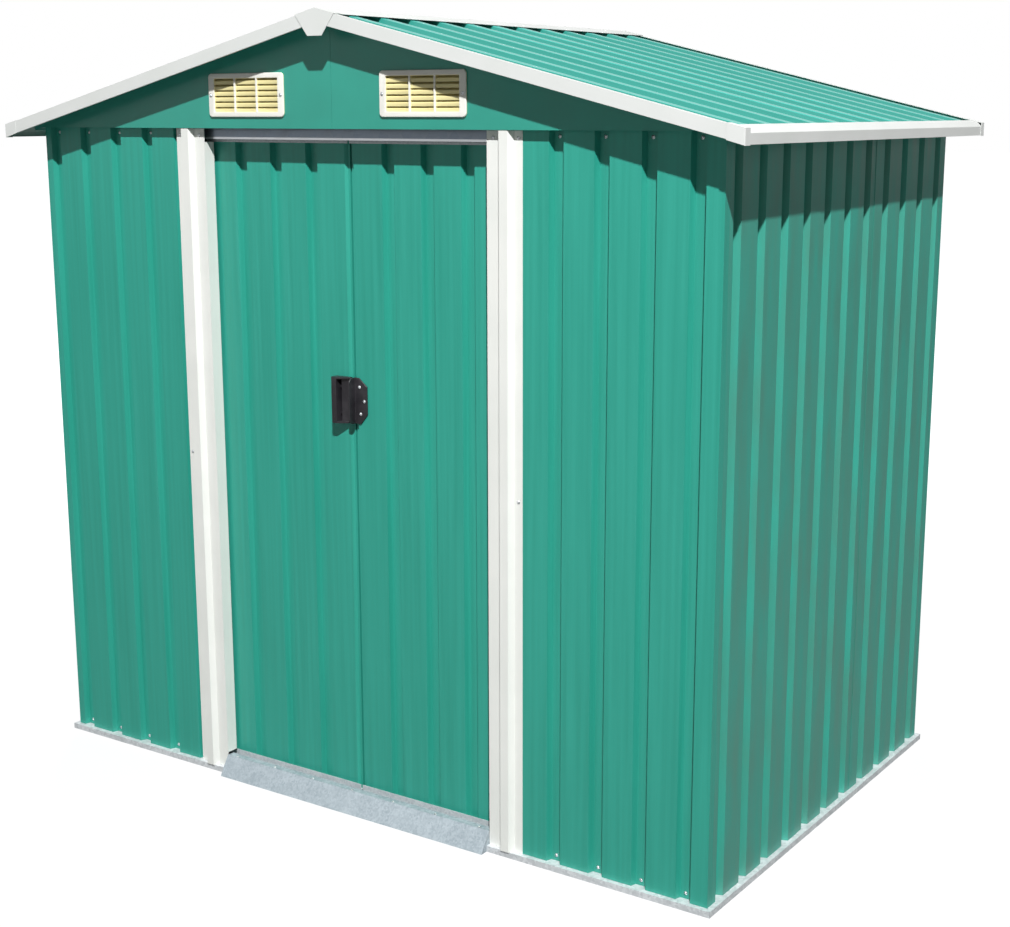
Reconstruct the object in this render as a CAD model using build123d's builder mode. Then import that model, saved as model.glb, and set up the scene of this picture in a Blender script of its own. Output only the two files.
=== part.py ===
from build123d import *
from math import cos, radians, sin, tan
import os

# Sheets and clearances
sheet_thickness = 0.6
rail_thickness = 1.2
trim_thickness = 0.8
seat_gap = 0.3
running_gap = 5.0
cut_margin = 1.0

# Folded wall sheet: wide flats with narrow trapezoid grooves
groove_pitch = 107.5
groove_depth = 14.0
groove_floor = 25.0
groove_slope = 5.0
lap_width = 24.0
corner_return = 20.0

# Shell, measured over the flats of the wall sheets
wall_width = 1905.0
side_pitches = 11
wall_height = 1604.0
left_panel_first_groove = 37.0
right_panel_first_groove = 58.0
left_panel_lap = 62.2
right_panel_lap = 80.2

# Base rails and wall rails
rail_ledge = 12.0
rail_lip_height = 14.0
rail_upright_height = 40.0
wall_rail_height = 40.0
wall_rail_flange = 25.0
top_rail_drop = 4.0
mid_rail_height = 800.0

# Doorway, jambs and ramp
doorway_width = 804.6
jamb_inner_flat = 31.0
jamb_rib_slope = 8.0
jamb_rib_top = 21.5
jamb_outer_flat = 20.7
jamb_rib_height = 14.0
jamb_return = 30.0
jamb_drop = 1.0
jamb_return_drop = 7.0
ramp_height = 47.0
ramp_reach = 32.0
ramp_top_setback = -3.0
ramp_hem = 12.0
ramp_rear_leg = 17.0
ramp_end_gap = 0.8

# Doors and their tracks
door_setback = 39.0
door_seam_gap = 5.0
door_pitches = 4
door_bottom = 34.0
door_rail_height = 14.0
door_edge_fold = 7.0
door_edge_width = 5.5
top_track_drop = 33.0
top_track_rise = 2.0
runner_setback = 60.0
runner_width = 12.0
runner_drop = 26.0
runner_lip = 8.0
bottom_track_height = 26.0
glide_width = 40.0
glide_spacing = 300.0
guide_thickness = 10.0
guide_drop = 24.0
hook_arm = 6.0
hook_nose = 3.5

# Handles
handle_height = 107.0
handle_centre = 988.0
handle_reach = 24.0
handle_base = 3.0
grip_width = 47.0
grip_bar = 17.0
grip_round = 6.0
pocket_width = 7.0
pad_sink = 3.0
handle_wall = 4.0
stud_spacing = 62.0
plate_width = 39.0
plate_corner_width = 19.5
plate_corner_height = 23.5
fin_thickness = 4.0
fin_round = 13.0

# Roof
roof_angle = 13.5
eave_overhang = 70.0
verge_overhang = 66.5
roof_rib_count = 12
ridge_gap = 6.0
cap_wing = 55.0
verge_height = 28.0
verge_flange = 14.0
verge_hem = 6.0
eave_flange = 28.0
eave_face = 21.0
eave_shoulder = 9.0
eave_hem = 8.0
corner_cap_length = 38.0
corner_cap_depth = 22.0
corner_cap_lip = 1.5
corner_cap_round = 1.2
beam_depth = 36.0
beam_flange = 22.0
beam_offset = 480.0
ridge_beam_wing = 40.0

# Gables and vents
gable_standoff = 16.0
gable_drop = 6.0
gable_flange = 28.0
gable_end_inset = 2.0
gable_lap = 3.0
ridge_plate_width = 40.0
ridge_plate_drop = 45.0
vent_width = 228.0
vent_height = 97.0
vent_centre = 250.0
vent_level = 1672.0
vent_corner = 9.0
vent_face = 4.0
vent_recess = 3.0
vent_depth = 8.0
vent_columns = 3
vent_rows = 6
vent_slot_width = 62.0
vent_slot_height = 5.0
vent_column_pitch = 66.0
vent_row_pitch = 12.5
vent_slot_tilt = 30.0

# Derived sizes
wall_depth = groove_pitch * side_pitches
gable_bottom = wall_height - gable_drop
top_track_top = wall_height + top_track_rise
jamb_top = gable_bottom - jamb_drop
jamb_return_top = top_track_top - top_track_drop - jamb_return_drop
half_width = wall_width / 2
half_depth = wall_depth / 2
half_floor = groove_floor / 2
half_opening = half_floor + groove_slope
lap_step = sheet_thickness + seat_gap
rail_line = groove_depth + sheet_thickness + lap_step + seat_gap
sheet_bottom = rail_lip_height + seat_gap
slope_rise = tan(radians(roof_angle))
slope_run = cos(radians(roof_angle))
slope_drop = sin(radians(roof_angle))
ridge_height = wall_height + seat_gap + half_width * slope_rise
trim_level = sheet_thickness + groove_depth + lap_step + seat_gap
cap_level = trim_level + trim_thickness + seat_gap
eave_edge = half_width + eave_overhang
roof_edge = eave_edge - eave_shoulder - trim_thickness - seat_gap
roof_length = (eave_edge + verge_height) / slope_run
verge_face = half_depth + verge_overhang
jamb_inner = doorway_width / 2
jamb_outer = jamb_inner + jamb_inner_flat + 2 * jamb_rib_slope + jamb_rib_top + jamb_outer_flat
left_panel_edge = jamb_inner + left_panel_lap
right_panel_edge = jamb_inner + right_panel_lap
door_width = groove_pitch * door_pitches
door_rail_front = door_setback - seat_gap - rail_thickness
door_rail_back = door_setback + groove_depth + sheet_thickness + seat_gap + rail_thickness
door_middle = (door_rail_front + door_rail_back) / 2
door_top = top_track_top - runner_drop
track_half = guide_thickness / 2 + running_gap + rail_thickness
rail_foot = door_middle - track_half - seat_gap

os.makedirs("parts", exist_ok=True)


def wall_plane(side, height):
    """Level plane on one wall, with local Y pointing out of the shed."""
    places = {
        "front": ((0, -half_depth, height), (-1, 0, 0)),
        "back": ((0, half_depth, height), (1, 0, 0)),
        "left": ((-half_width, 0, height), (0, 1, 0)),
        "right": ((half_width, 0, height), (0, -1, 0)),
    }
    origin, along = places[side]
    return Plane(origin=origin, x_dir=along, z_dir=(0, 0, 1))


def section_plane(side):
    """Upright plane across one wall, with local X pointing inwards and local Y up."""
    places = {
        "front": ((0, -half_depth, 0), (0, 1, 0), (1, 0, 0)),
        "back": ((0, half_depth, 0), (0, -1, 0), (-1, 0, 0)),
        "left": ((-half_width, 0, 0), (1, 0, 0), (0, -1, 0)),
        "right": ((half_width, 0, 0), (-1, 0, 0), (0, 1, 0)),
    }
    origin, inward, along = places[side]
    return Plane(origin=origin, x_dir=inward, z_dir=along)


def end_plane(side):
    """Upright plane on the front or the back wall, with local Z pointing outwards."""
    outward = -1 if side == "front" else 1
    return Plane(origin=(0, outward * half_depth, 0), x_dir=(-outward, 0, 0), z_dir=(0, outward, 0))


def roof_plane(hand):
    """Plane across one slope, with local X along the ridge and local Y out of the roof."""
    return Plane(
        origin=(0, 0, ridge_height),
        x_dir=(0, hand, 0),
        z_dir=(hand * slope_run, 0, -slope_drop),
    )


def roof_level(distance, level):
    """Height above ground at a distance from the ridge, a level above the pans' underside."""
    return ridge_height - distance * slope_rise + level / slope_run


def folded(points, thickness, side):
    """Face of a sheet folded along the points, thickened to one side of them."""
    turn = 1 if side == Side.LEFT else -1
    line = [Vector(*point) for point in points]
    along = [(stop - start).normalized() for start, stop in zip(line, line[1:])]
    across = [Vector(-step.Y, step.X) * turn for step in along]
    inner = [line[0] + across[0] * thickness]
    for corner, before, after in zip(line[1:], across, across[1:]):
        inner.append(corner + (before + after) * (thickness / (1 + before.dot(after))))
    inner.append(line[-1] + across[-1] * thickness)
    with BuildLine() as outline:
        Polyline(*line, *reversed(inner), close=True)
    make_face(outline.edges())


def grooved(start, stop, first, level, depth):
    """Points along a sheet from start to stop, with a groove at each pitch from the first."""
    points = [(start, level)]
    centre = first
    while centre < stop - half_opening:
        if centre > start + half_opening:
            points.append((centre - half_opening, level))
            points.append((centre - half_floor, level - depth))
            points.append((centre + half_floor, level - depth))
            points.append((centre + half_opening, level))
        centre += groove_pitch
    points.append((stop, level))
    return points


def finish(part, name):
    part.label = name
    export_step(part, f"parts/{name}.step")


# Base rails: folded channels under the walls, mitred at the corners
def base_rail(side, half_length):
    section = section_plane(side)
    with BuildPart() as rail:
        with BuildSketch(section):
            folded(
                [
                    (rail_foot, 0),
                    (-rail_ledge, 0),
                    (-rail_ledge, rail_lip_height),
                    (rail_line, rail_lip_height),
                    (rail_line, rail_upright_height),
                ],
                rail_thickness,
                Side.RIGHT,
            )
        extrude(amount=half_length + rail_ledge, both=True)
        for end in (section.z_dir, -section.z_dir):
            mitre = Plane(
                origin=section.origin + end * (half_length - seat_gap),
                z_dir=section.x_dir + end,
            )
            split(bisect_by=mitre, keep=Keep.BOTTOM)
    return rail.part


for side, half_length in {
    "front": half_width,
    "back": half_width,
    "left": half_depth,
    "right": half_depth,
}.items():
    finish(base_rail(side, half_length), f"base_rail_{side}")


# Ramp: a folded sloping sheet on the front rail, closed at both ends
with BuildPart() as door_ramp:
    ramp_half = doorway_width / 2 - ramp_end_gap
    ramp_line = [
        (ramp_hem - ramp_reach, 0),
        (-ramp_reach, 0),
        (ramp_top_setback, ramp_height),
        (rail_line - seat_gap, ramp_height),
        (rail_line - seat_gap, ramp_height - ramp_rear_leg),
    ]
    with BuildSketch(section_plane("front")):
        folded(ramp_line, rail_thickness, Side.RIGHT)
    extrude(amount=ramp_half, both=True)
    cheek_planes = [
        section_plane("front").offset(ramp_half - rail_thickness),
        section_plane("front").offset(-ramp_half),
    ]
    with BuildSketch(*cheek_planes):
        with BuildLine() as cheek:
            Polyline(
                (-ramp_reach, 0),
                (ramp_top_setback, ramp_height),
                (rail_line - seat_gap, ramp_height),
                (rail_line - seat_gap, sheet_bottom),
                (-rail_ledge - seat_gap, sheet_bottom),
                (-rail_ledge - seat_gap, 0),
                close=True,
            )
        make_face()
    extrude(amount=rail_thickness)
finish(door_ramp.part, "door_ramp")


# Door tracks: the lower one guides the doors and the upper one carries them
with BuildPart() as door_track_bottom:
    with BuildSketch(section_plane("front")):
        folded(
            [
                (door_middle - track_half, bottom_track_height),
                (door_middle - track_half, 0),
                (door_middle + track_half, 0),
                (door_middle + track_half, bottom_track_height),
            ],
            rail_thickness,
            Side.LEFT,
        )
    extrude(amount=half_width - rail_foot - seat_gap, both=True)
finish(door_track_bottom.part, "door_track_bottom")

track_back = runner_setback + runner_width
runner_level = top_track_top - runner_drop
with BuildPart() as door_track_top:
    with BuildSketch(section_plane("front")):
        folded(
            [
                (rail_line, top_track_top - top_track_drop),
                (rail_line, top_track_top),
                (track_back, top_track_top),
                (track_back, runner_level),
                (runner_setback, runner_level),
                (runner_setback, runner_level + runner_lip),
            ],
            rail_thickness,
            Side.RIGHT,
        )
    extrude(amount=half_width - rail_line - seat_gap, both=True)
finish(door_track_top.part, "door_track_top")


# Front panels: one folded sheet each, with a return round the corner
front_top = gable_bottom + gable_lap
with BuildPart() as front_wall_left:
    with BuildSketch(wall_plane("front", sheet_bottom)):
        first = half_width - left_panel_first_groove
        while first - groove_pitch > left_panel_edge:
            first -= groove_pitch
        points = grooved(left_panel_edge, half_width, first, 0, groove_depth)
        folded(points + [(half_width, -corner_return)], sheet_thickness, Side.RIGHT)
    extrude(amount=front_top - sheet_bottom)
finish(front_wall_left.part, "front_wall_left")

with BuildPart() as front_wall_right:
    with BuildSketch(wall_plane("front", sheet_bottom)):
        first = right_panel_first_groove - half_width
        points = grooved(-half_width, -right_panel_edge, first, 0, groove_depth)
        folded([(-half_width, -corner_return)] + points, sheet_thickness, Side.RIGHT)
    extrude(amount=front_top - sheet_bottom)
finish(front_wall_right.part, "front_wall_right")


# Side and back walls: three sheets each, the middle one lapped behind its neighbours
def lap_spans(first, count, start, stop):
    """Start, stop and level of three lapped sheets over a row of grooves."""
    third = round(count / 3)
    laps = [first + (third - 0.5) * groove_pitch, first + (count - third - 0.5) * groove_pitch]
    return [
        (start, laps[0] + lap_width / 2, 0),
        (laps[0] - lap_width / 2, laps[1] + lap_width / 2, -1),
        (laps[1] - lap_width / 2, stop, 0),
    ]


def side_wall(side):
    first = groove_pitch / 2 - half_depth
    edge = half_depth - corner_return - seat_gap
    with BuildPart() as wall:
        for start, stop, layer in lap_spans(first, side_pitches, -edge, edge):
            with BuildSketch(wall_plane(side, sheet_bottom)):
                points = grooved(start, stop, first, layer * lap_step, groove_depth)
                folded(points, sheet_thickness, Side.RIGHT)
            extrude(amount=wall_height - sheet_bottom)
    return wall.part


finish(side_wall("left"), "side_wall_left")
finish(side_wall("right"), "side_wall_right")

with BuildPart() as back_wall:
    back_count = int(wall_width // groove_pitch) + 1
    back_first = -(back_count - 1) * groove_pitch / 2
    for start, stop, layer in lap_spans(back_first, back_count, -half_width, half_width):
        with BuildSketch(wall_plane("back", sheet_bottom)):
            points = grooved(start, stop, back_first, layer * lap_step, groove_depth)
            if start == -half_width:
                points = [(start, -corner_return)] + points
            if stop == half_width:
                points = points + [(stop, -corner_return)]
            folded(points, sheet_thickness, Side.RIGHT)
        extrude(amount=front_top - sheet_bottom)
finish(back_wall.part, "back_wall")


# Jambs: a flat, a raised rib and a flat, with a return into the doorway
with BuildPart() as jamb_left:
    jamb_face = seat_gap + trim_thickness
    rib_start = jamb_inner + jamb_inner_flat
    rib_stop = rib_start + 2 * jamb_rib_slope + jamb_rib_top
    with BuildSketch(wall_plane("front", sheet_bottom)):
        folded(
            [
                (jamb_inner, -jamb_return),
                (jamb_inner, jamb_face),
                (rib_start, jamb_face),
                (rib_start + jamb_rib_slope, jamb_face + jamb_rib_height),
                (rib_stop - jamb_rib_slope, jamb_face + jamb_rib_height),
                (rib_stop, jamb_face),
                (jamb_outer, jamb_face),
            ],
            trim_thickness,
            Side.RIGHT,
        )
    extrude(amount=jamb_top - sheet_bottom)
    notches = [(0, ramp_height + running_gap), (jamb_return_top, jamb_top)]
    for low, high in notches:
        with BuildSketch(wall_plane("front", low)):
            with Locations((jamb_inner, 0)):
                Rectangle(jamb_inner_flat, jamb_return + cut_margin, align=(Align.CENTER, Align.MAX))
        extrude(amount=high - low + cut_margin, mode=Mode.SUBTRACT)
finish(jamb_left.part, "jamb_left")

with BuildPart() as jamb_right:
    mirror(jamb_left.part, about=Plane.YZ)
finish(jamb_right.part, "jamb_right")


# Wall rails: a top rail and a middle rail inside each plain wall
def wall_rails(side, start, stop):
    with BuildPart() as rails:
        for top in (wall_height - top_rail_drop, mid_rail_height + wall_rail_height / 2):
            with BuildSketch(section_plane(side).offset(start)):
                folded(
                    [
                        (rail_line, top - wall_rail_height),
                        (rail_line, top),
                        (rail_line + wall_rail_flange, top),
                    ],
                    rail_thickness,
                    Side.RIGHT,
                )
            extrude(amount=stop - start)
    return rails.part


back_end = half_depth - rail_line - wall_rail_flange - seat_gap
front_end = half_depth - track_back - seat_gap
rail_end = half_width - rail_line - seat_gap
finish(wall_rails("left", -back_end, front_end), "wall_rails_left")
finish(wall_rails("right", -front_end, back_end), "wall_rails_right")
finish(wall_rails("back", -rail_end, rail_end), "wall_rails_back")


# Gables: two thin triangular halves with a vent cut-out, a roof flange and a hem
def gable(side):
    outer = gable_standoff
    end = half_width - gable_end_inset
    with BuildPart() as sheets:
        for hand in (-1, 1):
            inner = hand * seat_gap
            low = roof_level(end, 0) - seat_gap
            high = roof_level(seat_gap, 0) - seat_gap
            web = sheet_thickness / slope_run
            with BuildSketch(end_plane(side).offset(outer)):
                with BuildLine():
                    Polyline(
                        (inner, gable_bottom),
                        (hand * end, gable_bottom),
                        (hand * end, low),
                        (inner, high),
                        close=True,
                    )
                make_face()
                with Locations((hand * vent_centre, vent_level)):
                    Rectangle(
                        vent_width - 2 * vent_corner,
                        vent_height - 2 * vent_corner,
                        mode=Mode.SUBTRACT,
                    )
            extrude(amount=-sheet_thickness)
            with BuildSketch(end_plane(side).offset(outer)):
                with BuildLine():
                    Polyline(
                        (inner, high - web),
                        (hand * end, low - web),
                        (hand * end, low),
                        (inner, high),
                        close=True,
                    )
                make_face()
            extrude(amount=-gable_flange)
            with BuildSketch(end_plane(side).offset(outer)):
                with BuildLine():
                    Polyline(
                        (inner, gable_bottom),
                        (hand * end, gable_bottom),
                        (hand * end, gable_bottom + sheet_thickness),
                        (inner, gable_bottom + sheet_thickness),
                        close=True,
                    )
                make_face()
            extrude(amount=seat_gap - outer)
    return sheets.part


finish(gable("front"), "gable_front")
finish(gable("back"), "gable_back")


# Vents: moulded frames with three columns of slanted slots through a raised back
def vents(side):
    face = end_plane(side).offset(gable_standoff + seat_gap)
    with BuildPart() as frames:
        with BuildSketch(face):
            with Locations((-vent_centre, vent_level), (vent_centre, vent_level)):
                RectangleRounded(vent_width, vent_height, vent_corner)
        extrude(amount=vent_face)
        front_faces = frames.faces().filter_by(Axis.Y).group_by(Axis.Y)
        chamfer(front_faces[0 if side == "front" else -1].edges(), length=vent_face / 4)
        plug = 2 * (vent_corner + seat_gap)
        with BuildSketch(face):
            with Locations((-vent_centre, vent_level), (vent_centre, vent_level)):
                Rectangle(vent_width - plug, vent_height - plug)
        extrude(amount=-vent_depth)
        window_height = vent_rows * vent_row_pitch
        with BuildSketch(face.offset(vent_face - vent_recess)):
            with Locations((-vent_centre, vent_level), (vent_centre, vent_level)):
                with GridLocations(vent_column_pitch, window_height, vent_columns, 1):
                    Rectangle(vent_slot_width, window_height)
        extrude(amount=vent_recess + cut_margin, mode=Mode.SUBTRACT)
        slot_length = vent_face + vent_depth
        tilt = radians(vent_slot_tilt)
        with BuildSketch(face.offset(vent_face + cut_margin)):
            with Locations((-vent_centre, vent_level), (vent_centre, vent_level)):
                with GridLocations(vent_column_pitch, vent_row_pitch, vent_columns, vent_rows):
                    Rectangle(vent_slot_width, vent_slot_height)
        outward = face.z_dir
        slant = Vector(0, -outward.Y * cos(tilt), sin(tilt))
        extrude(amount=(slot_length + 2 * cut_margin) / cos(tilt), dir=slant, mode=Mode.SUBTRACT)
    return frames.part


finish(vents("front"), "gable_vents_front")
finish(vents("back"), "gable_vents_back")


def eave_cut(hand, distance):
    """Upright plane along one eave at a distance from the ridge, facing outwards."""
    return Plane(origin=(hand * distance, 0, 0), z_dir=(hand, 0, 0))


# Roof: three ribbed sheets a slope, the middle one lapped over, the outer ones turned up
def roof_slope(hand):
    first = -(roof_rib_count - 1) * groove_pitch / 2
    edge = verge_face - seat_gap - trim_thickness
    with BuildPart() as slope:
        for start, stop, layer in lap_spans(first, roof_rib_count, -edge, edge):
            with BuildSketch(roof_plane(hand).offset(ridge_gap)):
                points = grooved(start, stop, first, -layer * lap_step, -groove_depth)
                if start == -edge:
                    points = [(start, trim_level - seat_gap)] + points
                if stop == edge:
                    points = points + [(stop, trim_level - seat_gap)]
                folded(points, sheet_thickness, Side.LEFT)
            extrude(amount=roof_length)
        split(bisect_by=eave_cut(hand, roof_edge), keep=Keep.BOTTOM)
    return slope.part


finish(roof_slope(-1), "roof_left")
finish(roof_slope(1), "roof_right")


# Roof frame: a folded ridge beam and two channels under the sheets, from gable to gable
beam_half = half_depth + gable_standoff - sheet_thickness - seat_gap
beam_level = -2 * seat_gap - sheet_thickness
with BuildPart() as ridge_beam:
    with BuildSketch(end_plane("back")):
        folded(
            [
                (-ridge_beam_wing, roof_level(ridge_beam_wing, beam_level)),
                (0, roof_level(0, beam_level)),
                (ridge_beam_wing, roof_level(ridge_beam_wing, beam_level)),
            ],
            rail_thickness,
            Side.RIGHT,
        )
    extrude(amount=beam_half - half_depth)
    extrude(ridge_beam.faces().sort_by(Axis.Y)[0], amount=beam_half + half_depth)
finish(ridge_beam.part, "ridge_beam")

with BuildPart() as roof_beams:
    for hand in (-1, 1):
        section = roof_plane(hand)
        beam_section = Plane(
            origin=(0, -beam_half, ridge_height),
            x_dir=section.z_dir,
            z_dir=(0, 1, 0),
        )
        up = -hand
        side = Side.LEFT if hand == -1 else Side.RIGHT
        far = beam_offset + beam_flange
        with BuildSketch(beam_section):
            folded(
                [
                    (far, up * beam_level),
                    (beam_offset, up * beam_level),
                    (beam_offset, up * (beam_level - beam_depth)),
                    (far, up * (beam_level - beam_depth)),
                ],
                rail_thickness,
                side,
            )
        extrude(amount=2 * beam_half)
finish(roof_beams.part, "roof_beams")


# Verge trims: inverted channels along the sloping edges of the roof
def verge_trims(side):
    outward = -1 if side == "front" else 1
    with BuildPart() as trims:
        for hand in (-1, 1):
            across = outward * hand
            face = across * verge_face
            with BuildSketch(roof_plane(hand).offset(ridge_gap / 2)):
                folded(
                    [
                            (face - across * verge_flange, trim_level + trim_thickness),
                        (face, trim_level + trim_thickness),
                        (face, trim_level + trim_thickness - verge_height),
                        (face - across * verge_hem, trim_level + trim_thickness - verge_height),
                    ],
                    trim_thickness,
                    Side.RIGHT if across > 0 else Side.LEFT,
                )
            extrude(amount=roof_length)
            split(bisect_by=eave_cut(hand, eave_edge), keep=Keep.BOTTOM)
    return trims.part


finish(verge_trims("front"), "verge_trims_front")
finish(verge_trims("back"), "verge_trims_back")


# Eave trims: folded fascias over the lower ends of the ribs
def eave_trim(hand):
    edge = eave_edge
    top = trim_level + trim_thickness
    shoulder = roof_level(edge, top) - eave_shoulder
    start = edge - eave_flange
    half_length = verge_face - verge_flange - seat_gap
    with BuildPart() as trim:
        with BuildSketch(end_plane("back").offset(half_length - half_depth)):
            folded(
                [
                    (-hand * start, roof_level(start, top)),
                    (-hand * (edge - eave_shoulder), roof_level(edge - eave_shoulder, top)),
                    (-hand * edge, shoulder),
                    (-hand * edge, shoulder - eave_face),
                    (-hand * (edge - eave_hem), shoulder - eave_face),
                ],
                trim_thickness,
                Side.RIGHT if hand < 0 else Side.LEFT,
            )
        extrude(amount=-2 * half_length)
    return trim.part


finish(eave_trim(-1), "eave_trim_left")
finish(eave_trim(1), "eave_trim_right")


# Corner caps: thin shells over the four corners where verge and eave trims meet
with BuildPart() as corner_caps:
    edge = eave_edge
    top = trim_level + trim_thickness + seat_gap
    inner = edge - corner_cap_length
    past = inner - cut_margin
    foot = roof_level(edge, top) - eave_shoulder - eave_face - seat_gap
    verge_foot = trim_level + trim_thickness - verge_height
    for side in ("front", "back"):
        face = end_plane(side).offset(verge_overhang)
        for hand in (-1, 1):
            hollow_edge = edge + seat_gap
            shell_edge = hollow_edge + trim_thickness
            with BuildSketch(face.offset(seat_gap + trim_thickness)):
                with BuildLine():
                    Polyline(
                        (hand * inner, roof_level(inner, top + trim_thickness)),
                        (hand * shell_edge, roof_level(shell_edge, top + trim_thickness)),
                        (hand * shell_edge, foot - corner_cap_lip),
                        (hand * inner, roof_level(inner, verge_foot) - corner_cap_lip),
                        close=True,
                    )
                make_face()
            extrude(amount=-corner_cap_depth)
            with BuildSketch(face.offset(seat_gap)):
                with BuildLine():
                    Polyline(
                        (hand * past, roof_level(past, top)),
                        (hand * hollow_edge, roof_level(hollow_edge, top)),
                        (hand * hollow_edge, foot - corner_cap_length),
                        (hand * past, foot - corner_cap_length),
                        close=True,
                    )
                make_face()
            extrude(amount=-corner_cap_depth, mode=Mode.SUBTRACT)
    outer_corners = corner_caps.edges().filter_by(Axis.Z).filter_by(
        lambda edge: abs(edge.center().X) > eave_edge
        and abs(edge.center().Y) > verge_face + seat_gap + trim_thickness / 2
    )
    fillet(outer_corners, radius=corner_cap_round)
finish(corner_caps.part, "corner_caps")


# Ridge cap: a folded strip over the top edges of both slopes
cap_half = verge_face - seat_gap
with BuildPart() as ridge_cap:
    with BuildSketch(end_plane("back").offset(cap_half - half_depth)):
        folded(
            [
                (-cap_wing, roof_level(cap_wing, cap_level)),
                (0, roof_level(0, cap_level)),
                (cap_wing, roof_level(cap_wing, cap_level)),
            ],
            trim_thickness,
            Side.LEFT,
        )
    extrude(amount=-2 * cap_half)
finish(ridge_cap.part, "ridge_cap")


# Ridge plates: small pointed plates over the ends of the ridge cap, folded back over it
def ridge_plate(side):
    over = cap_level + trim_thickness + seat_gap
    top = over + trim_thickness
    with BuildPart() as plate:
        with BuildSketch(end_plane(side).offset(verge_overhang + seat_gap)):
            with BuildLine():
                Polyline(
                    (-ridge_plate_width / 2, roof_level(0, 0) - ridge_plate_drop + verge_hem),
                    (ridge_plate_width / 2, roof_level(0, 0) - ridge_plate_drop + verge_hem),
                    (cap_wing, roof_level(cap_wing, top)),
                    (0, roof_level(0, top)),
                    (-cap_wing, roof_level(cap_wing, top)),
                    close=True,
                )
            make_face()
        extrude(amount=trim_thickness)
        with BuildSketch(end_plane(side).offset(verge_overhang + seat_gap)):
            folded(
                [
                    (-cap_wing, roof_level(cap_wing, over)),
                    (0, roof_level(0, over)),
                    (cap_wing, roof_level(cap_wing, over)),
                ],
                trim_thickness,
                Side.LEFT,
            )
        extrude(amount=-corner_cap_depth)
    return plate.part


finish(ridge_plate("front"), "ridge_plate_front")
finish(ridge_plate("back"), "ridge_plate_back")


# Doors: folded sheets held between a top rail and a bottom rail
near_edge = door_seam_gap / 2
far_edge = near_edge + door_width
edge_turn = near_edge + door_edge_width
with BuildPart() as door_left:
    door_low = door_bottom + rail_thickness + seat_gap
    door_high = door_top - rail_thickness - seat_gap
    with BuildSketch(wall_plane("front", door_low)):
        points = grooved(
            edge_turn + groove_slope,
            far_edge,
            near_edge + groove_pitch,
            -door_setback,
            groove_depth,
        )
        fold = [
            (near_edge, -door_setback - groove_depth),
            (near_edge, -door_setback - door_edge_fold),
            (edge_turn, -door_setback - door_edge_fold),
        ]
        folded(fold + points, sheet_thickness, Side.RIGHT)
    extrude(amount=door_high - door_low)

with BuildPart() as door_left_top_rail:
    with BuildSketch(section_plane("front").offset(-far_edge)):
        folded(
            [
                (door_rail_front, door_top - door_rail_height),
                (door_rail_front, door_top),
                (door_rail_back, door_top),
                (door_rail_back, door_top - door_rail_height),
            ],
            rail_thickness,
            Side.RIGHT,
        )
    extrude(amount=door_width)

with BuildPart() as door_left_bottom_rail:
    with BuildSketch(section_plane("front").offset(-far_edge)):
        folded(
            [
                (door_rail_front, door_bottom + door_rail_height),
                (door_rail_front, door_bottom),
                (door_rail_back, door_bottom),
                (door_rail_back, door_bottom + door_rail_height),
            ],
            rail_thickness,
            Side.LEFT,
        )
    extrude(amount=door_width)

# Glides: hooks that ride on the runner's lip above, and guide blocks in the track below
with BuildPart() as door_left_glides:
    door_centre = -(near_edge + far_edge) / 2
    lip_top = runner_level + runner_lip
    lip_back = runner_setback + rail_thickness
    nose_back = lip_back + seat_gap + hook_nose
    for place in (-glide_spacing / 2, glide_spacing / 2):
        glide_plane = section_plane("front").offset(door_centre + place - glide_width / 2)
        with BuildSketch(glide_plane):
            with BuildLine():
                Polyline(
                    (door_middle - hook_nose, door_top + seat_gap),
                    (door_middle + hook_nose, door_top + seat_gap),
                    (door_middle + hook_nose, lip_top + seat_gap),
                    (lip_back + seat_gap, lip_top + seat_gap),
                    (lip_back + seat_gap, lip_top - hook_nose),
                    (nose_back, lip_top - hook_nose),
                    (nose_back, lip_top + hook_arm),
                    (door_middle - hook_nose, lip_top + hook_arm),
                    close=True,
                )
            make_face()
            with Locations((door_middle, door_bottom - seat_gap)):
                Rectangle(guide_thickness, guide_drop, align=(Align.CENTER, Align.MAX))
        extrude(amount=glide_width)

left_door_pieces = {
    "door_left": door_left,
    "door_left_top_rail": door_left_top_rail,
    "door_left_bottom_rail": door_left_bottom_rail,
    "door_left_glides": door_left_glides,
}
for name, piece in left_door_pieces.items():
    finish(piece.part, name)
    with BuildPart() as twin:
        mirror(piece.part, about=Plane.YZ)
    finish(twin.part, name.replace("left", "right"))


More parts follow.
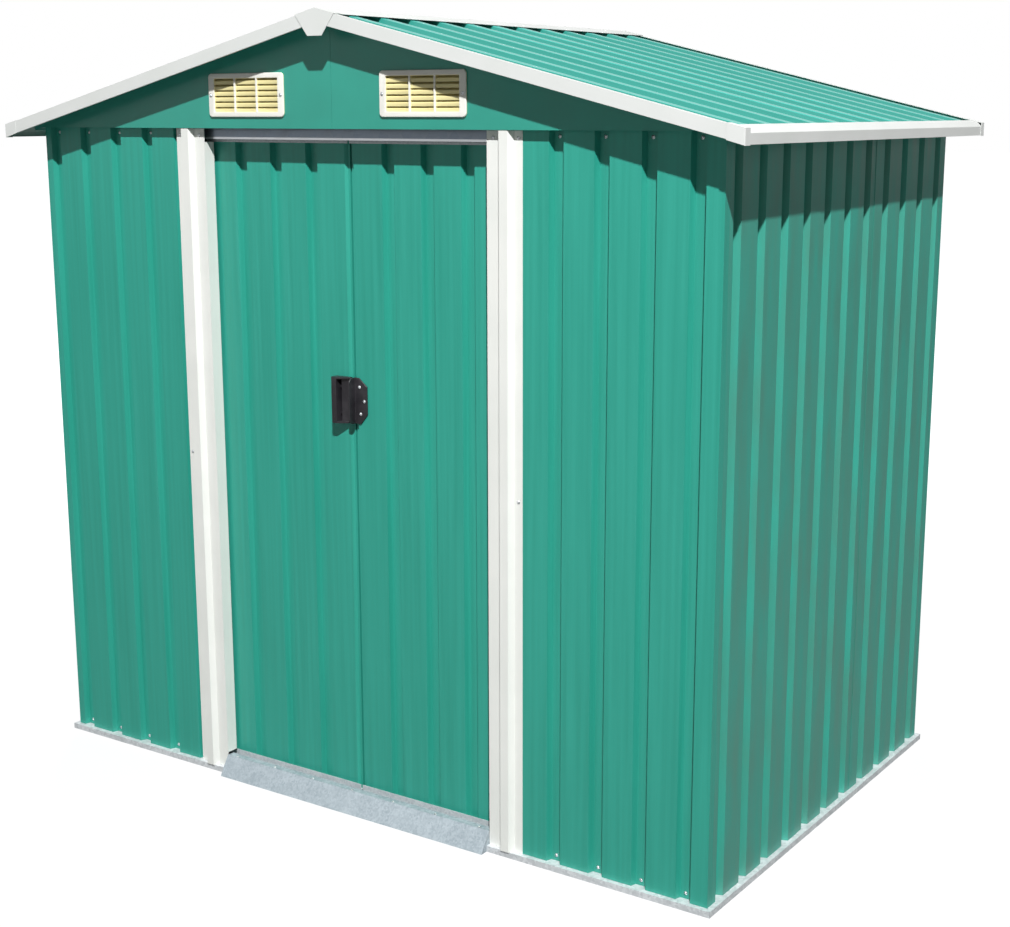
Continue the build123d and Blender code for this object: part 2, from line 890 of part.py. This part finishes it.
# Left handle: a moulded pull with a round-edged grip, a finger pocket and a sunk pad
handle_low = handle_centre - handle_height / 2
handle_back = -door_setback + seat_gap
with BuildPart() as door_left_handle:
    inner = near_edge + seat_gap
    outer = near_edge + grip_width
    bar_edge = outer - grip_bar
    tip = handle_back + handle_reach
    foot = handle_back + 2 * handle_base
    with BuildSketch(wall_plane("front", handle_low)):
        with BuildLine():
            Polyline(
                (inner, handle_back),
                (outer, handle_back),
                (outer, tip),
                (bar_edge, tip),
                (inner, foot),
                close=True,
            )
        make_face()
    extrude(amount=handle_height)
    fillet(
        door_left_handle.edges().filter_by(Axis.Z).group_by(Axis.Y)[0],
        radius=grip_round,
    )
    sunk_height = handle_height - 2 * handle_wall
    with BuildSketch(wall_plane("front", handle_low + handle_wall)):
        with BuildLine():
            Polyline(
                (bar_edge, tip + cut_margin),
                (bar_edge, foot - handle_base),
                (bar_edge - pocket_width, foot - handle_base),
                (bar_edge - pocket_width, tip - handle_reach / 2),
                (inner, foot - pad_sink),
                (inner, tip + cut_margin),
                close=True,
            )
        make_face()
    extrude(amount=sunk_height, mode=Mode.SUBTRACT)
    stud_plane = end_plane("front").offset(foot - handle_base)
    with BuildSketch(stud_plane):
        with Locations((pocket_width / 2 - bar_edge, handle_centre)):
            with GridLocations(1, stud_spacing, 1, 2):
                Circle(pocket_width / 2 - seat_gap)
    extrude(amount=handle_base * 2)
finish(door_left_handle.part, "door_left_handle")

# Right handle: a screwed plate with chamfered corners and an upright fin beside the seam
with BuildPart() as door_right_handle:
    inner = near_edge + seat_gap
    outer = near_edge + plate_width
    with BuildSketch(end_plane("front").offset(handle_back)):
        with Locations(((inner + outer) / 2, handle_centre)):
            Rectangle(outer - inner, handle_height)
    extrude(amount=handle_base)
    plate_corners = door_right_handle.edges().filter_by(Axis.Y).group_by(Axis.X)[-1]
    chamfer(plate_corners, length=plate_corner_width, length2=plate_corner_height)
    with BuildSketch(section_plane("front").offset(inner)):
        with Locations((-handle_back, handle_centre)):
            Rectangle(handle_reach, handle_height, align=(Align.MAX, Align.CENTER))
    extrude(amount=fin_thickness)
    fin_corners = door_right_handle.edges().filter_by(Axis.X).group_by(Axis.Y)[0]
    fillet(fin_corners, radius=fin_round)
finish(door_right_handle.part, "door_right_handle")
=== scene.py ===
import math
import bmesh
import bpy
from mathutils import Matrix, Vector


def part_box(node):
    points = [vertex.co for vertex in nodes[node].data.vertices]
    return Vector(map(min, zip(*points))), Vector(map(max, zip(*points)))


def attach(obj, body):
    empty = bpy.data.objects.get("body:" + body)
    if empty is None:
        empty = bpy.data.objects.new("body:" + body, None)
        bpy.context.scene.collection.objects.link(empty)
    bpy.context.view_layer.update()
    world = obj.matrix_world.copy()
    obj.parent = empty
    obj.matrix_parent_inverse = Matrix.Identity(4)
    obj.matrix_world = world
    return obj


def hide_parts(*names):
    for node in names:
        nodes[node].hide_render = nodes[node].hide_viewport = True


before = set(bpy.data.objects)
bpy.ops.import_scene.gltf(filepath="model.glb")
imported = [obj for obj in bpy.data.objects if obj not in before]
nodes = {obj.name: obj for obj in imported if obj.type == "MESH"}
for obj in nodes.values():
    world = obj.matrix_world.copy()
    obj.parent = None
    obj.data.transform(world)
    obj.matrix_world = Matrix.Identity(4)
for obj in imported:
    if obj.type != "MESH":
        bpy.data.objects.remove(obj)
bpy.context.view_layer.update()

# Shell sheets: walls, doors and gables are thin steel, rolled into flats with narrow
# grooves and coated in a satin green on the line. The coat shows faint rolling streaks
# down its length, and the flats buckle a little between their grooves.
streaks_per_metre = 90
streak_depth = 0.00006
buckles_per_metre = 5.0
buckle_depth = 0.0035
coat_weight = 0.12
coat_roughness = 0.2
down_the_sheet = (1, 1, 0.02)
# Stretch of the side walls' broad patches, which carry a painted reflection.
painted_glare_patches = (0.3, 0.3, 0.05)
nearly_even = (0.1, 0.02, 0.1)


def new_material(name, colour, roughness, metallic=0.0):
    """A material with its shader and its object coordinates, ready for more nodes."""
    material = bpy.data.materials.new(name)
    material.use_nodes = True
    tree = material.node_tree
    shader = tree.nodes["Principled BSDF"]
    shader.inputs["Base Color"].default_value = (*colour, 1)
    shader.inputs["Roughness"].default_value = roughness
    shader.inputs["Metallic"].default_value = metallic
    coordinates = tree.nodes.new("ShaderNodeTexCoord")
    return material, tree, shader, coordinates.outputs["Object"]


def stretched_noise(tree, place, scale, detail, stretch=(1, 1, 1)):
    """Noise on object coordinates, drawn out along the axes by the stretch."""
    mapping = tree.nodes.new("ShaderNodeMapping")
    mapping.inputs["Scale"].default_value = stretch
    tree.links.new(place, mapping.inputs["Vector"])
    noise = tree.nodes.new("ShaderNodeTexNoise")
    noise.inputs["Scale"].default_value = scale
    noise.inputs["Detail"].default_value = detail
    tree.links.new(mapping.outputs["Vector"], noise.inputs["Vector"])
    return noise.outputs["Fac"]


def ramp_colours(tree, value, low, high, start=0.35, stop=0.65):
    """Colour that runs from low to high with the value."""
    ramp = tree.nodes.new("ShaderNodeValToRGB")
    ramp.color_ramp.elements[0].position = start
    ramp.color_ramp.elements[0].color = (*low, 1)
    ramp.color_ramp.elements[1].position = stop
    ramp.color_ramp.elements[1].color = (*high, 1)
    tree.links.new(value, ramp.inputs["Fac"])
    return ramp.outputs["Color"]


def ranged(tree, value, low, high):
    """The noise's middle range spread from low to high."""
    spread = tree.nodes.new("ShaderNodeMapRange")
    spread.inputs["From Min"].default_value = 0.3
    spread.inputs["From Max"].default_value = 0.7
    spread.inputs["To Min"].default_value = low
    spread.inputs["To Max"].default_value = high
    tree.links.new(value, spread.inputs["Value"])
    return spread.outputs["Result"]


def bumped(tree, shader, heights):
    """Bumps chained into the shader, from pairs of height and depth in metres."""
    before = None
    for height, depth in heights:
        bump = tree.nodes.new("ShaderNodeBump")
        bump.inputs["Strength"].default_value = 1.0
        bump.inputs["Distance"].default_value = depth
        tree.links.new(height, bump.inputs["Height"])
        if before is not None:
            tree.links.new(before, bump.inputs["Normal"])
        before = bump.outputs["Normal"]
    tree.links.new(before, shader.inputs["Normal"])


def coated_green(name, low, high, roughness, streak):
    """Coil-coated sheet whose green runs from low to high in streaks of the given stretch."""
    material, tree, shader, place = new_material(name, high, roughness)
    streaks = stretched_noise(tree, place, streaks_per_metre, 3, streak)
    colour = ramp_colours(tree, streaks, low, high, 0.3, 0.7)
    sheen = ranged(tree, streaks, roughness * 0.85, roughness * 1.2)
    tree.links.new(colour, shader.inputs["Base Color"])
    tree.links.new(sheen, shader.inputs["Roughness"])
    shader.inputs["Coat Weight"].default_value = coat_weight
    shader.inputs["Coat Roughness"].default_value = coat_roughness
    buckles = stretched_noise(tree, place, buckles_per_metre, 1, (1, 1, 0.45))
    bumped(tree, shader, [(buckles, buckle_depth), (streaks, streak_depth)])
    return material


def dress(material, *names):
    """Every material slot of the named nodes takes the material."""
    for name in names:
        slots = nodes[name].data.materials
        if len(slots) == 0:
            slots.append(material)
        for index in range(len(slots)):
            slots[index] = material


wall_green = coated_green(
    "satin_green_wall", (0.021, 0.283, 0.213), (0.027, 0.325, 0.250), 0.42, down_the_sheet
)
dress(wall_green, "front_wall_left", "front_wall_right", "back_wall", "door_left", "door_right")
# Side walls: a copy of the wall coat, mottled in broad patches from the green to a greyer
# green. The greyer patches are a painted reflection of glare on the flats.
side_green_painted_glare = coated_green(
    "satin_green_side_painted_glare", (0.054, 0.258, 0.198), (0.030, 0.320, 0.248), 0.4, painted_glare_patches
)
dress(side_green_painted_glare, "side_wall_left", "side_wall_right")
gable_green = coated_green(
    "satin_green_gable", (0.026, 0.272, 0.208), (0.030, 0.300, 0.230), 0.4, nearly_even
)
dress(gable_green, "gable_front", "gable_back")

# Roof sheets: the same steel with raised ribs that run from the ridge to the eaves,
# laid with one rib over the next. The green is a little bluer, and the crests of the
# ribs carry a painted highlight: a band of paler, brighter green at their tops.
along_the_slope = (0.006, 1, 0.006)
roof_coat_weight = 0.3
roof_fall = math.tan(math.radians(13.5))
# Colour of the painted highlight on the rib crests.
painted_crest_highlight_green = (0.060, 0.430, 0.370)
crest_depth = 0.0012
crest_fade = 0.0006


def computed(tree, operation, *values):
    """One sum on numbers and sockets."""
    node = tree.nodes.new("ShaderNodeMath")
    node.operation = operation
    for socket, value in zip(node.inputs, values):
        if isinstance(value, float):
            socket.default_value = value
        else:
            tree.links.new(value, socket)
    return node.outputs["Value"]


def object_axes(tree):
    """Object coordinates, split into X, Y and Z."""
    coordinates = tree.nodes.new("ShaderNodeTexCoord")
    axes = tree.nodes.new("ShaderNodeSeparateXYZ")
    tree.links.new(coordinates.outputs["Object"], axes.inputs["Vector"])
    return axes.outputs


def turned_at(tree, value, start, stop, before, after):
    """The first colour up to the start, the second past the stop."""
    step = tree.nodes.new("ShaderNodeMapRange")
    step.inputs["From Min"].default_value = start
    step.inputs["From Max"].default_value = stop
    tree.links.new(value, step.inputs["Value"])
    mix = tree.nodes.new("ShaderNodeMix")
    mix.data_type = "RGBA"
    tree.links.new(step.outputs["Result"], mix.inputs["Factor"])
    for socket, colour in (("A", before), ("B", after)):
        if isinstance(colour, tuple):
            mix.inputs[socket].default_value = (*colour, 1)
        else:
            tree.links.new(colour, mix.inputs[socket])
    return mix.outputs["Result"]


roof_green = coated_green(
    "satin_green_roof", (0.028, 0.238, 0.198), (0.034, 0.262, 0.220), 0.32, along_the_slope
)
tree = roof_green.node_tree
shader = tree.nodes["Principled BSDF"]
shader.inputs["Coat Weight"].default_value = roof_coat_weight
sheet_colour = shader.inputs["Base Color"].links[0].from_socket
corners = nodes["roof_right"].data.vertices
crest = max(corner.co.z + abs(corner.co.x) * roof_fall for corner in corners) - crest_depth
axes = object_axes(tree)
from_ridge = computed(tree, "ABSOLUTE", axes["X"])
height = computed(tree, "MULTIPLY_ADD", from_ridge, roof_fall, axes["Z"])
# Painted highlight: a band at the top of every rib crest is coloured a paler, brighter green,
# standing in for the light the crests catch.
painted_crest_highlight = turned_at(tree, height, crest - crest_fade, crest, sheet_colour, painted_crest_highlight_green)
tree.links.new(painted_crest_highlight, shader.inputs["Base Color"])
dress(roof_green, "roof_left", "roof_right")

# Trims and jambs: folded steel strips in an off-white coat, screwed over the roof's
# edges, the ridge and the sides of the doorway. The coat is a little chalky.
chalk_patches = 9
chalk_grain = 900
chalk_grain_depth = 0.00004


def coated_white(name, low, high, roughness):
    """Off-white coat, mottled faintly from low to high."""
    material, tree, shader, place = new_material(name, high, roughness)
    mottle = stretched_noise(tree, place, chalk_patches, 2)
    grain = stretched_noise(tree, place, chalk_grain, 2)
    colour = ramp_colours(tree, mottle, low, high, 0.3, 0.7)
    sheen = ranged(tree, mottle, roughness * 0.85, roughness * 1.15)
    tree.links.new(colour, shader.inputs["Base Color"])
    tree.links.new(sheen, shader.inputs["Roughness"])
    bumped(tree, shader, [(grain, chalk_grain_depth)])
    return material


trim_white = coated_white("off_white_trim", (0.64, 0.66, 0.64), (0.67, 0.685, 0.67), 0.42)
dress(trim_white, "verge_trims_front", "verge_trims_back", "eave_trim_left", "eave_trim_right")
dress(trim_white, "corner_caps", "ridge_cap", "ridge_plate_front", "ridge_plate_back")
jamb_white = coated_white("off_white_jamb", (0.735, 0.75, 0.715), (0.77, 0.78, 0.745), 0.45)
dress(jamb_white, "jamb_left", "jamb_right")

# Galvanised rails and ramp: bare zinc-coated steel whose crystals show as grey spangle.
# The base rails are folded channels pegged to the ground, and the ramp is one folded
# strip hooked over the front rail.
zinc_clouds = 22
zinc_cloud_depth = 0.0002


def galvanised(name, dark, light, crystals, roughness, metallic=0.75):
    """Zinc coat, half crystals at the given number to a metre and half larger clouds."""
    material, tree, shader, place = new_material(name, light, roughness, metallic)
    cells = tree.nodes.new("ShaderNodeTexVoronoi")
    cells.inputs["Scale"].default_value = crystals
    tree.links.new(place, cells.inputs["Vector"])
    spangle = tree.nodes.new("ShaderNodeRGBToBW")
    tree.links.new(cells.outputs["Color"], spangle.inputs["Color"])
    cloud = stretched_noise(tree, place, zinc_clouds, 5)
    half_spangle = computed(tree, "MULTIPLY", spangle.outputs["Val"], 0.5)
    mixed = computed(tree, "MULTIPLY_ADD", cloud, 0.5, half_spangle)
    colour = ramp_colours(tree, mixed, dark, light, 0.3, 0.7)
    sheen = ranged(tree, mixed, roughness * 0.8, roughness * 1.25)
    tree.links.new(colour, shader.inputs["Base Color"])
    tree.links.new(sheen, shader.inputs["Roughness"])
    bumped(tree, shader, [(cloud, zinc_cloud_depth)])
    return material


bare_rail = galvanised(
    "galvanised_rail", (0.58, 0.61, 0.63), (0.77, 0.80, 0.82), 160, 0.45, 0.35
)
dress(bare_rail, "base_rail_front", "base_rail_back", "base_rail_left", "base_rail_right")
dress(bare_rail, "wall_rails_left", "wall_rails_right", "wall_rails_back")
dress(bare_rail, "roof_beams", "ridge_beam", "door_track_bottom")
door_rail = galvanised(
    "galvanised_door_rail", (0.52, 0.57, 0.60), (0.66, 0.70, 0.72), 200, 0.45, 0.2
)
for side in ("left", "right"):
    dress(door_rail, f"door_{side}_top_rail", f"door_{side}_bottom_rail")
ramp_zinc = galvanised("galvanised_ramp", (0.32, 0.38, 0.42), (0.45, 0.51, 0.55), 240, 0.6, 0.4)
dress(ramp_zinc, "door_ramp")

# Upper track: one galvanised channel screwed behind the gable, which carries the doors'
# hooks. Its face is coloured a dark slate, a painted shade darker than bare zinc, and the
# gable's shade falls on it as well. A band along its lower edge is a painted highlight,
# near-white where the fold catches the light.
lip_height = 0.004
lip_fade = 0.0015
painted_lip_highlight = (0.93, 0.96, 1.00)
# Painted shade: the face colours are a dark slate, darker than bare zinc.
track_zinc = galvanised(
    "slate_track", (0.20, 0.24, 0.29), (0.25, 0.29, 0.34), 60, 0.36, 0.85
)
tree = track_zinc.node_tree
shader = tree.nodes["Principled BSDF"]
painted_shade_face_colour = shader.inputs["Base Color"].links[0].from_socket
lip_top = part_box("door_track_top")[0].z + lip_height
height = object_axes(tree)["Z"]
# Painted highlight: a near-white band along the track's lower edge.
painted_lip_colour = turned_at(tree, height, lip_top, lip_top + lip_fade, painted_lip_highlight, painted_shade_face_colour)
tree.links.new(painted_lip_colour, shader.inputs["Base Color"])
dress(track_zinc, "door_track_top")

# Door runners: white nylon hooks over the upper track's lip and guide blocks in the
# lower track, riveted to the doors' rails and hidden when the shed is shut.
nylon_mottle = 40
moulding_grain = 1400
moulding_grain_depth = 0.00005


def moulded(name, colour, darker, roughness):
    """Moulded plastic, faintly mottled, with a fine grain from its tool."""
    material, tree, shader, place = new_material(name, colour, roughness)
    mottle = stretched_noise(tree, place, nylon_mottle, 3)
    grain = stretched_noise(tree, place, moulding_grain, 2)
    sheen = ranged(tree, mottle, roughness * 0.9, roughness * 1.15)
    tree.links.new(ramp_colours(tree, mottle, darker, colour), shader.inputs["Base Color"])
    tree.links.new(sheen, shader.inputs["Roughness"])
    bumped(tree, shader, [(grain, moulding_grain_depth)])
    return material


runner_nylon = moulded("white_nylon", (0.72, 0.72, 0.69), (0.66, 0.66, 0.62), 0.5)
dress(runner_nylon, "door_left_glides", "door_right_glides")

# Handles: black glass-filled plastic, one a rounded grip with a finger pocket, the
# other a plate with a fin that closes against it. Each is screwed through its door.
grip_round = 0.0014
plate_round = 0.0011
turned_edge = math.radians(30)
flat_enough = math.radians(1)


def new_piece(name, bm, material):
    """The bmesh as a linked object of its own, with one material."""
    mesh = bpy.data.meshes.new(name)
    bm.to_mesh(mesh)
    bm.free()
    mesh.materials.append(material)
    piece = bpy.data.objects.new(name, mesh)
    bpy.context.scene.collection.objects.link(piece)
    return piece


def softened(node, body, round_size):
    """The node's own form with its moulded edges rounded, shown in its place."""
    source = nodes[node].data
    bm = bmesh.new()
    bm.from_mesh(source)
    bmesh.ops.remove_doubles(bm, verts=bm.verts, dist=1e-6)
    bmesh.ops.dissolve_limit(bm, angle_limit=flat_enough, verts=bm.verts, edges=bm.edges)
    edges = [
        edge for edge in bm.edges
        if edge.is_manifold and edge.calc_face_angle(0) > turned_edge
    ]
    bmesh.ops.bevel(
        bm, geom=edges, offset=round_size, offset_type="OFFSET", affect="EDGES",
        segments=3, profile=0.5, clamp_overlap=True, material=-1,
    )
    bmesh.ops.recalc_face_normals(bm, faces=bm.faces)
    piece = new_piece(node + "_moulded", bm, source.materials[0])
    piece.data.shade_smooth()
    piece.data.set_sharp_from_angle(angle=turned_edge)
    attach(piece, body)
    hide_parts(node)


handle_black = moulded("black_plastic", (0.022, 0.020, 0.024), (0.014, 0.013, 0.016), 0.38)
dress(handle_black, "door_left_handle", "door_right_handle")
softened("door_left_handle", "door_left", grip_round)
softened("door_right_handle", "door_right", plate_round)

# Vents: moulded plastic frames, ivory round the edge and cream on the slanted blades,
# pushed through the gable and held by a screw at each end.
vent_round = 0.0007
face_depth = 0.002
face_fade = 0.001
ivory = (0.80, 0.79, 0.73)
cream = (0.74, 0.66, 0.33)


def vent_plastic(name, face, inward):
    """Ivory at the frame's face, turning cream behind it."""
    material, tree, shader, place = new_material(name, ivory, 0.48)
    start = face + inward * face_depth
    stop = start + inward * face_fade
    colour = turned_at(tree, object_axes(tree)["Y"], start, stop, ivory, cream)
    tree.links.new(colour, shader.inputs["Base Color"])
    grain = stretched_noise(tree, place, moulding_grain, 2)
    bumped(tree, shader, [(grain, moulding_grain_depth)])
    return material


front_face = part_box("gable_vents_front")[0].y
back_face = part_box("gable_vents_back")[1].y
dress(vent_plastic("ivory_vent_front", front_face, 1), "gable_vents_front")
dress(vent_plastic("ivory_vent_back", back_face, -1), "gable_vents_back")
softened("gable_vents_front", "shed", vent_round)
softened("gable_vents_back", "shed", vent_round)

# Wall and jamb screws: plated pan-head screws with a wide flange and a cross recess,
# driven through the grooves into the rails behind, and through the jambs' flats.
screw_radius = 0.0042
screw_height = 0.0022
screw_sides = 14
recess_depth = 0.35
skin = 0.0002
pitch = 0.1075
groove_depth = 0.014
jamb_proud = 0.0011
rail_screw_z = 0.027
middle_screw_z = 0.80
top_screw_z = 1.586
jamb_screw_z = 1.582
jamb_middle_z = 0.82
left_first_groove = 0.037
right_first_groove = 0.058
back_first_groove = 0.03875
jamb_inner_screw = 0.016
jamb_outer_screw = 0.010
forwards = (0, -1, 0)
backwards = (0, 1, 0)
upwards = (0, 0, 1)


def add_screw(bm, place, outward):
    """One pan-head screw standing on a face, pointing outwards."""
    outward = Vector(outward).normalized()
    turn = outward.to_track_quat("Z", "Y").to_matrix().to_4x4()
    seat = Matrix.Translation(Vector(place)) @ turn
    ring = bmesh.ops.create_circle(
        bm, cap_ends=True, radius=screw_radius, segments=screw_sides, matrix=seat
    )
    rim = set(ring["verts"])
    face = next(f for f in bm.faces if all(v in rim for v in f.verts))
    if face.normal.dot(outward) < 0:
        face.normal_flip()
    face.normal_update()
    for rise, shrink in ((0.25, 0.96), (0.3, 0.72), (0.3, 0.78), (0.15, 0.6)):
        face = bmesh.ops.extrude_discrete_faces(bm, faces=[face])["faces"][0]
        bmesh.ops.translate(bm, verts=face.verts, vec=outward * (screw_height * rise))
        centre = Matrix.Translation(-face.calc_center_median())
        bmesh.ops.scale(bm, verts=face.verts, vec=(shrink,) * 3, space=centre)
    bmesh.ops.inset_region(bm, faces=[face], thickness=screw_radius * 0.06)
    bmesh.ops.translate(bm, verts=face.verts, vec=-outward * (screw_height * recess_depth))


def screw_set(name, body, places):
    """All the given screws as one piece that rides on a body."""
    bm = bmesh.new()
    for place, outward in places:
        add_screw(bm, place, outward)
    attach(new_piece(name, bm, plated), body)


plated = galvanised("plated_screw", (0.50, 0.52, 0.54), (0.74, 0.76, 0.78), 300, 0.3)
front_low, front_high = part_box("front_wall_right")
half_width = front_high.x
front_y = front_low.y
back_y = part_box("back_wall")[1].y
jamb_low, jamb_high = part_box("jamb_right")

wall_screws = []
front_grooves = [half_width - right_first_groove - pitch * step for step in range(4)]
front_grooves += [-half_width + left_first_groove + pitch * step for step in range(4)]
for x in front_grooves:
    for z in (rail_screw_z, top_screw_z):
        wall_screws.append(((x, front_y + groove_depth - skin, z), forwards))
for step in range(0, 11, 2):
    y = front_y + pitch * (step + 0.5)
    for side in (-1, 1):
        x = side * (half_width - groove_depth + skin)
        for z in (rail_screw_z, top_screw_z, middle_screw_z):
            wall_screws.append(((x, y, z), (side, 0, 0)))
for step in range(0, 18, 3):
    x = -half_width + back_first_groove + pitch * step
    for z in (rail_screw_z, middle_screw_z, top_screw_z):
        wall_screws.append(((x, back_y - groove_depth + skin, z), backwards))
inner_x = jamb_low.x + jamb_inner_screw
outer_x = jamb_high.x - jamb_outer_screw
for side in (-1, 1):
    for x, z in ((inner_x, jamb_screw_z), (outer_x, jamb_screw_z), (outer_x, jamb_middle_z)):
        wall_screws.append(((side * x, front_y - jamb_proud - skin, z), forwards))
screw_set("wall_screws", "shed", wall_screws)

# Ramp screws: seven of the same screws along the fold at the ramp's top, driven down
# into the front base rail.
ramp_end = 0.03
ramp_screw_y = front_y - 0.003 + 0.0055
ramp_low, ramp_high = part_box("door_ramp")
ramp_step = (ramp_high.x - ramp_low.x - 2 * ramp_end) / 6
ramp_screws = []
for step in range(7):
    x = ramp_low.x + ramp_end + ramp_step * step
    ramp_screws.append(((x, ramp_screw_y, ramp_high.z + skin), upwards))
screw_set("ramp_screws", "shed", ramp_screws)

# Handle screws: three of the same screws through the plate on the right door, in the
# bow that its cut corners leave.
door_setback = 0.039
plate_thickness = 0.0033
plate_low, plate_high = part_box("door_right_handle")
plate_y = front_y + door_setback - plate_thickness - skin
handle_z = (plate_low.z + plate_high.z) / 2
handle_screws = []
for x, z in ((0.020, 0.032), (0.033, 0.0), (0.022, -0.030)):
    handle_screws.append(((x, plate_y, handle_z + z), forwards))
screw_set("handle_screws_right", "door_right", handle_screws)

# Vent screws: one at the middle of each short side of every frame, driven through the
# frame into the gable.
vent_centre = 0.25
vent_screw_reach = 0.106
vent_screw_z = 1.672
vent_screws = []
for centre in (-vent_centre, vent_centre):
    for side in (-1, 1):
        x = centre + side * vent_screw_reach
        vent_screws.append(((x, front_face - skin, vent_screw_z), forwards))
        vent_screws.append(((x, back_face + skin, vent_screw_z), backwards))
screw_set("vent_screws", "shed", vent_screws)

# Stage: a matt floor, soft lamps and the photograph's camera. The floor is dim for the
# light it throws on the shed, and is lifted to white for the camera alone.
floor_grey = 0.22
near_lift = 0.70
lift_starts = 1.2
lift_ends = 4.2
bm = bmesh.new()
bmesh.ops.create_grid(bm, x_segments=1, y_segments=1, size=60)
floor_material, tree, shader, place = new_material("pale_floor", (floor_grey,) * 3, 0.9)
shader.inputs["Emission Color"].default_value = (1, 1, 1, 1)
distance = tree.nodes.new("ShaderNodeVectorMath")
distance.operation = "LENGTH"
tree.links.new(place, distance.inputs[0])
fade = tree.nodes.new("ShaderNodeMapRange")
fade.interpolation_type = "SMOOTHSTEP"
fade.inputs["From Min"].default_value = lift_starts
fade.inputs["From Max"].default_value = lift_ends
fade.inputs["To Min"].default_value = near_lift
fade.inputs["To Max"].default_value = 1.0
tree.links.new(distance.outputs["Value"], fade.inputs["Value"])
light_path = tree.nodes.new("ShaderNodeLightPath").outputs
lift = computed(tree, "MULTIPLY", light_path["Is Camera Ray"], fade.outputs["Result"])
tree.links.new(lift, shader.inputs["Emission Strength"])
floor = new_piece("floor", bm, floor_material)
floor.location.z = -0.0005

sky_level = 0.06
mirrored_sky = 0.6
world = bpy.data.worlds.new("studio")
bpy.context.scene.world = world
world.use_nodes = True
tree = world.node_tree
background = tree.nodes["Background"]
background.inputs["Color"].default_value = (1, 1, 1, 1)
light_path = tree.nodes.new("ShaderNodeLightPath").outputs
direct = computed(
    tree, "MAXIMUM", light_path["Is Camera Ray"], light_path["Is Transmission Ray"]
)
mirrored = computed(tree, "MULTIPLY", light_path["Is Glossy Ray"], mirrored_sky)
seen = computed(tree, "MAXIMUM", direct, mirrored)
level = computed(tree, "MAXIMUM", seen, sky_level)
tree.links.new(level, background.inputs["Strength"])


def soft_lamp(name, place, target, size, power):
    """A round lamp that faces its target."""
    lamp = bpy.data.lights.new(name, "AREA")
    lamp.shape = "DISK"
    lamp.size = size
    lamp.energy = power
    holder = bpy.data.objects.new(name, lamp)
    holder.location = place
    facing = Vector(target) - Vector(place)
    holder.rotation_euler = facing.to_track_quat("-Z", "Y").to_euler()
    bpy.context.scene.collection.objects.link(holder)
    return holder


soft_lamp("key", (4.6, -6.0, 9.2), (0, 0, 0.9), 0.22, 2000)
soft_lamp("fill", (-5.0, -5.5, 3.0), (0, 0, 0.9), 3.5, 16)
soft_lamp("side", (7.0, 1.0, 2.4), (0.9, 0, 0.9), 3.0, 8)
rear_lamp = soft_lamp("rear", (-5.5, 7.5, 3.2), (0, 0, 0.9), 3.5, 560)
rear_lamp.visible_glossy = False

camera_dip = 12.09
camera_roll = 0.11
camera_turn = 34.36
camera_data = bpy.data.cameras.new("camera")
camera_data.lens = 58.8
camera_data.sensor_width = 36
camera = bpy.data.objects.new("camera", camera_data)
camera.location = (2.391, -3.434, 1.6375)
camera.rotation_euler = (
    math.radians(90 - camera_dip), math.radians(camera_roll), math.radians(camera_turn)
)
bpy.context.scene.collection.objects.link(camera)
bpy.context.scene.camera = camera
bpy.context.scene.view_settings.view_transform = "Standard"
